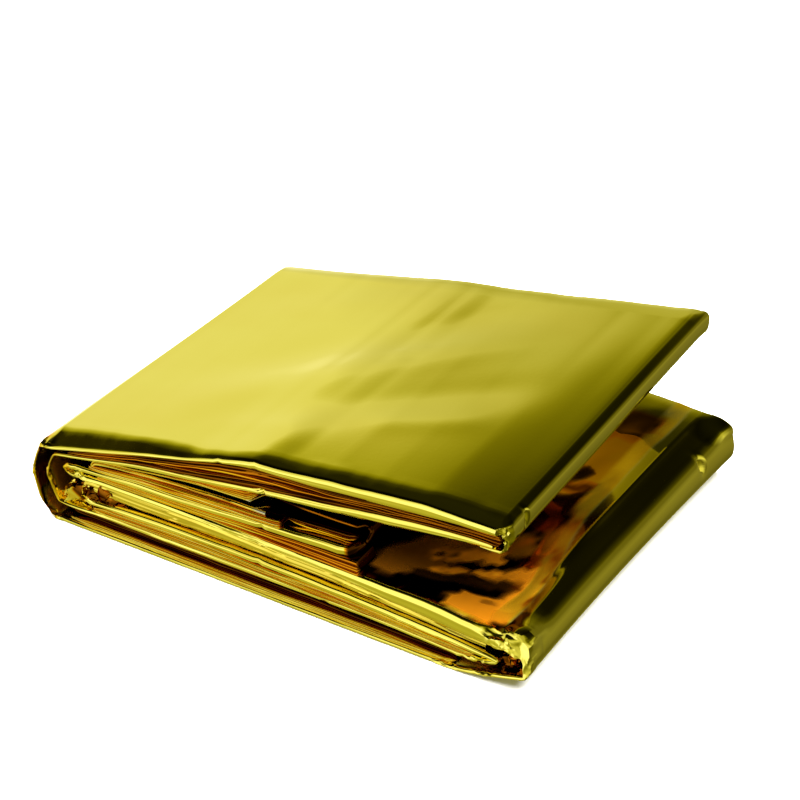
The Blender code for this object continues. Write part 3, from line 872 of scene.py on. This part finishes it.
def build_pocket(pocket, material):
    """Crushed plies in a pocket between two folds."""

    def place(row, column):
        along = row / (POCKET_ROWS - 1)
        around = column / POCKET_COLUMNS * math.tau
        x, z = mix(pocket.x0, pocket.x1, along), mix(pocket.z0, pocket.z1, smooth(along * 1.5))
        swell = min(1.0, 6 * along, 8 * (1 - along)) ** 0.5 * mix(1.0, pocket.narrow, along)
        y = mix(pocket.y0, pocket.y1, along) + 1.9 * swell * math.cos(around)
        pz = z + pocket.tall * swell * math.sin(around)
        spot = Vector((x, y * 1.2, pz - 0.6 * x)) * 0.24
        push = Vector([facet(spot, turn) for turn in (1.0, 4.4, 7.9)]) * 0.9
        push += Vector([facet(spot * 2.3, turn) for turn in (2.0, 5.4, 8.9)]) * 0.22
        # Painted shade, darker further into the pocket, varied a little.
        deep = mix(pocket.deep0, pocket.deep1, smooth((along - 0.22 + 0.03 * (pz - z)) / 0.16))
        deep += 0.35 * wander(x + pz, 4.0, 2.2)
        marks = dict(deep=clamp(deep), creased=1.0)
        return to_row(x + push.x, max(0.7, y + push.y), pz + push.z * 0.7), marks

    mesh = tube_mesh(pocket.name, POCKET_ROWS, POCKET_COLUMNS, place)
    return link_piece(pocket.name + "_plies", mesh, material)


# --- Film ---


def node_adder(tree):
    """A function that adds a node to a tree. Its inputs are numbers, colours or other nodes' sockets."""

    def add(kind, inputs, **settings):
        node = tree.nodes.new("ShaderNode" + kind)
        for key, value in settings.items():
            setattr(node, key, value)
        for key, value in inputs.items():
            socket = node.inputs[key]
            if isinstance(value, bpy.types.NodeSocket):
                tree.links.new(value, socket)
            else:
                socket.default_value = (*value, 1) if socket.type == "RGBA" else value
        return node

    return add


def fill_ramp(ramp, stops):
    """Gives a colour ramp its stops, as (position, colour)."""
    elements = ramp.color_ramp.elements
    elements.remove(elements[1])
    for number, (position, colour) in enumerate(stops):
        element = elements.new(position) if number else elements[0]
        element.position = position
        element.color = (*colour, 1)


def film_material():
    """Metallised film. Its marks paint shade, reflections and highlights into its colour and roughen it,
    and its tarnish and faint creases are procedural.
    """
    colours = bpy.context.scene.film_colours
    material = bpy.data.materials.new(FILM)
    material.use_nodes = True
    add = node_adder(material.node_tree)
    place = add("TexCoord", {}).outputs["Object"]

    def attribute(name):
        return add("Attribute", {}, attribute_name=name).outputs["Fac"]

    def patchy(scale, stretch, detail):
        """Noise on object coordinates, stretched along each axis."""
        turn = add("Mapping", {"Vector": place, "Scale": stretch})
        inputs = {"Vector": turn.outputs["Vector"], "Scale": scale, "Detail": detail}
        return add("TexNoise", inputs).outputs["Fac"]

    def mapped(value, low, high, new_low, new_high):
        inputs = {"Value": value, "From Min": low, "From Max": high, "To Min": new_low, "To Max": new_high}
        return add("MapRange", inputs).outputs["Result"]

    def blended(share, first, second):
        """A mix of two colours, each a colour or a socket."""
        return add("Mix", {0: share, 6: first, 7: second}, data_type="RGBA").outputs[2]

    def bumped(strength, distance, height, **inputs):
        inputs.update(Strength=strength, Distance=distance, Height=height)
        return add("Bump", inputs).outputs["Normal"]

    # Painted shade and reflection: the ramp darkens the gold through painted shade at the slits' mouths,
    # painted amber and brown reflections of film mirroring film, and painted umber shade between the plies.
    depth = add("ValToRGB", {0: attribute("deep")})
    fill_ramp(depth, (
        (0, colours.gold), (0.28, colours.painted_slit_shade), (0.5, colours.amber), (0.74, colours.brown),
        (1, colours.umber),
    ))
    painted_shade_colour = depth.outputs["Color"]
    patches = mapped(patchy(26, (1, 1.6, 1), 2), 0.4, 0.7, 0, 0.5)
    in_open = mapped(attribute("deep"), 0, 0.3, 1, 0)
    toned = blended(in_open, painted_shade_colour, blended(patches, painted_shade_colour, colours.tarnish))
    # Pale cut ends, partly uncoated film and partly a painted highlight.
    colour = blended(attribute("bare"), toned, colours.bare)
    # Where the painted shade is strong, grazing reflections take the painted colour too, instead of white.
    painted_shade_share = mapped(attribute("deep"), 0.4, 0.8, 0, 1)
    streaks = patchy(1, (30, 60, 900), 3)
    streaks = mapped(streaks, 0, 1, colours.roughness * 0.6, colours.roughness * 1.6)
    hazed = mapped(attribute("haze"), 0, 1, 0, colours.haze)
    waves = bumped(0.3, 0.00004, patchy(55, (1, 0.8, 1), 2))
    looks = {
        "Base Color": colour,
        "Specular Tint": blended(painted_shade_share, (1, 1, 1), colour),
        "Roughness": add("Math", {0: streaks, 1: hazed}).outputs[0],
        "Metallic": mapped(attribute("haze"), 0, 1, 1, 0.1),
        "Normal": bumped(0.05, 0.00005, patchy(900, (1, 1, 1), 2), Normal=waves),
    }
    shader = material.node_tree.nodes["Principled BSDF"]
    for name, socket in looks.items():
        material.node_tree.links.new(socket, shader.inputs[name])
    return material


def film():
    """The one film material, made when it is first needed."""
    return bpy.data.materials.get(FILM) or film_material()


def declare(piece):
    """Parents a piece of film to the body's empty and hides the CAD part."""
    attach(piece, BODY)
    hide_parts(CAD_NODE)


# --- Operators ---


class FOIL_OT_outer_wrap(bpy.types.Operator):
    """Builds the loose flap, the lower leaf, the spine and the top, as one folded band of film"""

    bl_idname = "foil.outer_wrap"
    bl_label = "Outer wrap"

    def execute(self, context):
        piece, length = build_bundle("outer_wrap", OUTER_PATH, OUTER_TUCK, 1.0, film())
        declare(piece)
        return {"FINISHED"}


class FOIL_OT_inner_plies(bpy.types.Operator):
    """Builds the bundles of plies that lie inside the outer wrap"""

    bl_idname = "foil.inner_plies"
    bl_label = "Inner plies"

    def execute(self, context):
        piece, length = build_bundle("inner_plies", INNER_PATH, None, 2.0, film())
        declare(piece)
        stacks = []
        for place, stack in enumerate(STACKS):
            stacks.append(build_stack(stack, False, 3.0 + place, film()))
            if stack.name != "gap_slit":
                stacks.append(build_stack(stack, True, 23.0 + place, film()))
        stacks += [build_pocket(pocket, film()) for pocket in POCKETS]
        for stack in stacks:
            declare(stack)
        return {"FINISHED"}


def world_light(settings):
    """A bright surround that is low and wide, and a dark ceiling."""
    world = bpy.data.worlds.new("studio")
    bpy.context.scene.world = world
    world.use_nodes = True
    world.node_tree.nodes.clear()
    add = node_adder(world.node_tree)

    def span(value, low, high):
        """0 at low and 1 at high, and in between a share of the way."""
        inputs = {"Value": value, "From Min": low, "From Max": high}
        return add("MapRange", inputs).outputs["Result"]

    def dimmed(light, share, tint):
        inputs = {0: share, 6: light, 7: tint}
        return add("Mix", inputs, data_type="RGBA", blend_type="MULTIPLY").outputs[2]

    def combined(operation, *values):
        return add("Math", dict(enumerate(values)), operation=operation).outputs[0]

    way = add("TexCoord", {}).outputs["Generated"]
    parts = add("SeparateXYZ", {0: way}).outputs
    across = add("VectorMath", {0: way, 1: (0.8, 0.6, 0)}, operation="DOT_PRODUCT")
    turn = across.outputs["Value"]
    # The bright surround reaches higher in front and at the right end, except towards the back.
    right = combined("MULTIPLY", span(parts["X"], 0.35, 0.75), span(parts["Y"], 0.6, 0.3))
    height = combined("MULTIPLY_ADD", right, -0.45, parts["Z"])
    height = combined("MULTIPLY_ADD", span(parts["Y"], -0.3, -0.75), -0.26, height)
    ramp = add("ValToRGB", {0: span(height, -1, 1)})
    fill_ramp(ramp, [
        ((height + 1) / 2, (light, light * (1 - 0.04 * warm), light * (1 - warm)))
        for height, light, warm in SURROUND
    ])
    light = dimmed(ramp.outputs["Color"], span(turn, -0.04, 0.1), (0.58, 0.57, 0.28))
    low_or_back = combined("MAXIMUM", span(parts["Z"], 0.15, -0.15), span(parts["Y"], 0.35, 0.6))
    light = dimmed(light, combined("MULTIPLY", span(turn, 0.2, 0.62), low_or_back), (0.3, 0.29, 0.17))
    panel = combined("MULTIPLY", span(turn, -0.3, -0.52), span(parts["Z"], 0.45, 0.52))
    light = dimmed(light, panel, (0.1, 0.09, 0.03))
    surround = add("Background", {"Color": light, "Strength": settings.surround})
    backdrop = add("Background", {"Color": BACKDROP})
    seen = add("LightPath", {}).outputs["Is Camera Ray"]
    blend = add("MixShader", {0: seen, 1: surround.outputs[0], 2: backdrop.outputs[0]})
    add("OutputWorld", {"Surface": blend.outputs[0]})


class FOIL_OT_stage(bpy.types.Operator):
    """Builds the floor, the soft light and the camera"""

    bl_idname = "foil.stage"
    bl_label = "Stage"

    def execute(self, context):
        settings = context.scene.studio
        sheet = bmesh.new()
        bmesh.ops.create_grid(sheet, x_segments=8, y_segments=8, size=settings.floor_size / 2)
        pale = bpy.data.materials.new("pale_floor")
        pale.use_nodes = True
        shader = pale.node_tree.nodes["Principled BSDF"]
        shader.inputs["Base Color"].default_value = (*settings.floor_colour, 1)
        shader.inputs["Roughness"].default_value = 0.9
        shader.inputs["Specular IOR Level"].default_value = 0.1
        floor = link_piece("floor", as_mesh(sheet, "floor"), pale)
        floor.visible_glossy = False
        world_light(settings)
        lamp = bpy.data.lights.new("overhead", "AREA")
        lamp.shape = "DISK"
        lamp.size = 2.6
        lamp.energy = settings.lamp_power
        light = link_object("overhead", lamp)
        light.location = (0.1, 0.0, 1.5)
        light.visible_glossy = False
        light.visible_camera = False
        lens = bpy.data.cameras.new("camera")
        lens.lens = CAMERA_LENS
        lens.sensor_width = 36.0
        lens.clip_start = 0.01
        camera = link_object("camera", lens)
        camera.location = CAMERA_PLACE
        camera.rotation_euler = (math.radians(CAMERA_TILT), 0.0, math.radians(CAMERA_TURN))
        context.scene.camera = camera
        context.scene.view_settings.view_transform = "Standard"
        return {"FINISHED"}


class FOIL_PT_panel(bpy.types.Panel):
    """Lists the pieces of the foil blanket"""

    bl_idname = "FOIL_PT_panel"
    bl_label = "Foil blanket"
    bl_space_type = "VIEW_3D"
    bl_region_type = "UI"
    bl_category = "Foil blanket"

    def draw(self, context):
        layout = self.layout
        for operator in OPERATORS:
            layout.operator(operator.bl_idname)
        for settings in (context.scene.film_sizes, context.scene.film_colours, context.scene.studio):
            box = layout.box()
            for key in settings.__annotations__:
                box.prop(settings, key)


SETTINGS = {"film_sizes": FilmSizes, "film_colours": FilmColours, "studio": StudioSettings}
OPERATORS = (FOIL_OT_outer_wrap, FOIL_OT_inner_plies, FOIL_OT_stage)


def register():
    for name, group in SETTINGS.items():
        bpy.utils.register_class(group)
        setattr(bpy.types.Scene, name, bpy.props.PointerProperty(type=group))
    for made in (*OPERATORS, FOIL_PT_panel):
        bpy.utils.register_class(made)


def unregister():
    for made in reversed((*OPERATORS, FOIL_PT_panel)):
        bpy.utils.unregister_class(made)
    for name, group in SETTINGS.items():
        delattr(bpy.types.Scene, name)
        bpy.utils.unregister_class(group)


def main():
    register()
    bpy.ops.foil.outer_wrap()
    bpy.ops.foil.inner_plies()
    bpy.ops.foil.stage()


if __name__ == "__main__":
    main()
